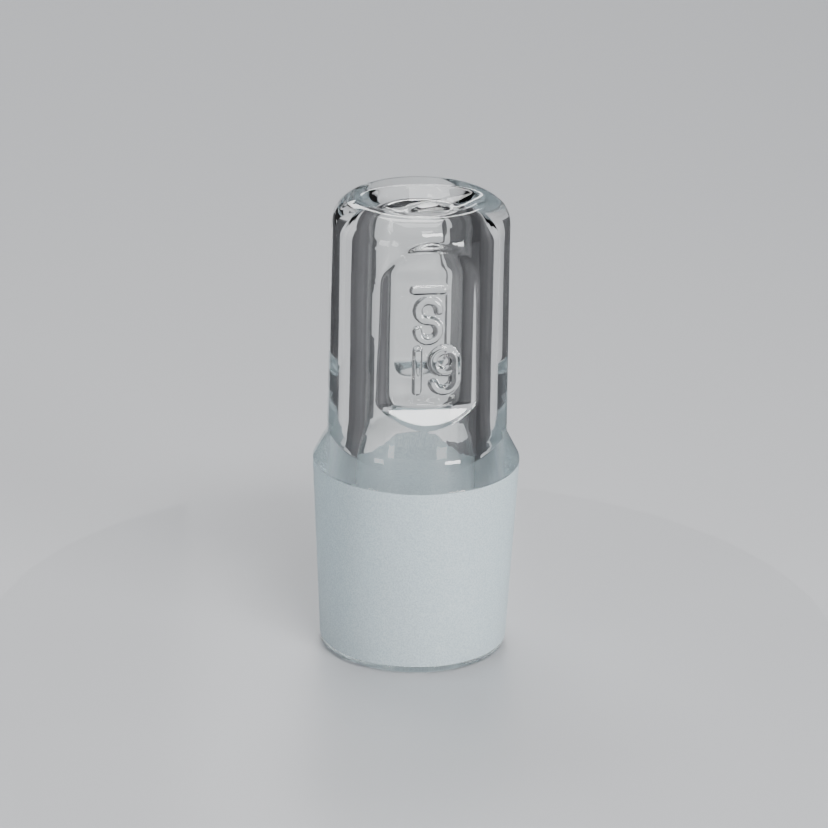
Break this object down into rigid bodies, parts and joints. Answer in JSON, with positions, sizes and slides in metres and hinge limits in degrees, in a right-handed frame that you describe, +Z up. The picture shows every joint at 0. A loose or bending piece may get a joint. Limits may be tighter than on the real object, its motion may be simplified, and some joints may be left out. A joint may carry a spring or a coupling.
{
  "type": "glass stopper",
  "caption": "Clear hollow glass stopper with a ground tapered plug open at the foot, a dished top, and pressed finger flats with a raised size number.",
  "frame": {"origin": "centre of the foot, at the bottom of the ground plug", "axes": "+Z up through the head; the finger flats face -Y and +Y, with the size number on the -Y one"},
  "size_m": [0.019, 0.019, 0.0433],
  "materials": {
    "clear_glass": "clear, fire-polished; the plug's tapered face is ground to an even frost"
  },
  "bodies": {
    "root": {"stopper": "clear_glass"}
  },
  "joints": []
}
